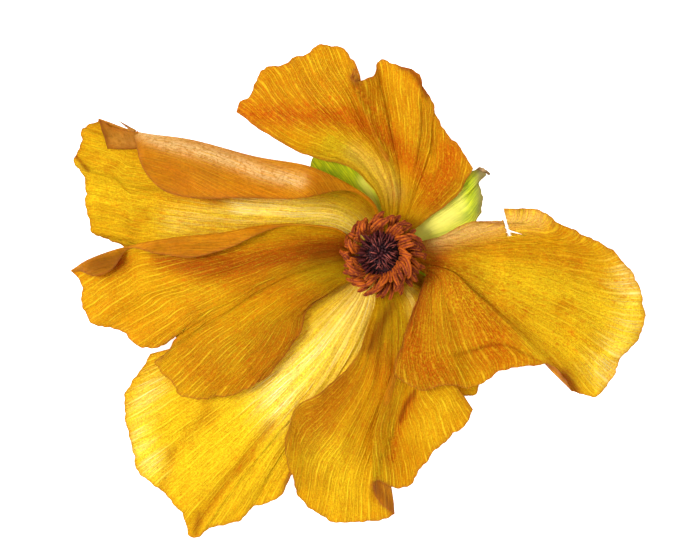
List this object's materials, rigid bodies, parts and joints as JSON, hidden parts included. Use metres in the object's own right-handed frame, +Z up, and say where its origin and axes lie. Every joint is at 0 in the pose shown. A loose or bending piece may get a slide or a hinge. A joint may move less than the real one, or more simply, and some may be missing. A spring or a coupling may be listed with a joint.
{
  "type": "ranunculus flower",
  "caption": "Open yellow-orange ranunculus blossom lying face up: broad crinkled petals with a turned-over edge, rust anthers round a dark centre, green sepals and a short cut stem.",
  "frame": {"origin": "middle of the flower's footprint, on the surface that it lies on", "axes": "+Z up along the flower's axis, out of its face; +X towards the large right-hand petal; +Y towards the top petal"},
  "size_m": [0.1008, 0.0868, 0.0175],
  "materials": {
    "petal": "thin translucent golden-yellow petal with orange veins and a soft sheen",
    "sepal": "thin downy yellow-green sepal, matt",
    "stamen": "powdery rust-orange anther on a pinkish filament, matt",
    "carpel": "dark purple-black carpels with pinkish tips, satin",
    "stem": "green plant stem with a paler cut end, satin"
  },
  "bodies": {
    "root": {"petal_top": "petal", "petal_upper_left": "petal", "petal_left": "petal", "petal_lower_left": "petal", "petal_bottom": "petal", "petal_right": "petal", "petal_under": "petal", "sepal_upper": "sepal", "sepal_upper_right": "sepal", "sepal_left": "sepal", "sepal_bottom": "sepal", "sepal_right": "sepal", "stamen_01": "stamen", "stamen_02": "stamen", "stamen_03": "stamen", "stamen_04": "stamen", "stamen_05": "stamen", "stamen_06": "stamen", "stamen_07": "stamen", "stamen_08": "stamen", "stamen_09": "stamen", "stamen_10": "stamen", "stamen_11": "stamen", "stamen_12": "stamen", "stamen_13": "stamen", "stamen_14": "stamen", "stamen_15": "stamen", "stamen_16": "stamen", "stamen_17": "stamen", "stamen_18": "stamen", "stamen_19": "stamen", "stamen_20": "stamen", "stamen_21": "stamen", "stamen_22": "stamen", "stamen_23": "stamen", "stamen_24": "stamen", "stamen_25": "stamen", "stamen_26": "stamen", "stamen_27": "stamen", "stamen_28": "stamen", "stamen_29": "stamen", "stamen_30": "stamen", "stamen_31": "stamen", "stamen_32": "stamen", "stamen_33": "stamen", "stamen_34": "stamen", "stamen_35": "stamen", "stamen_36": "stamen", "stamen_37": "stamen", "stamen_38": "stamen", "stamen_39": "stamen", "stamen_40": "stamen", "stamen_41": "stamen", "stamen_42": "stamen", "stamen_43": "stamen", "carpel_head": "carpel", "receptacle_and_stem": "stem"}
  },
  "joints": []
}
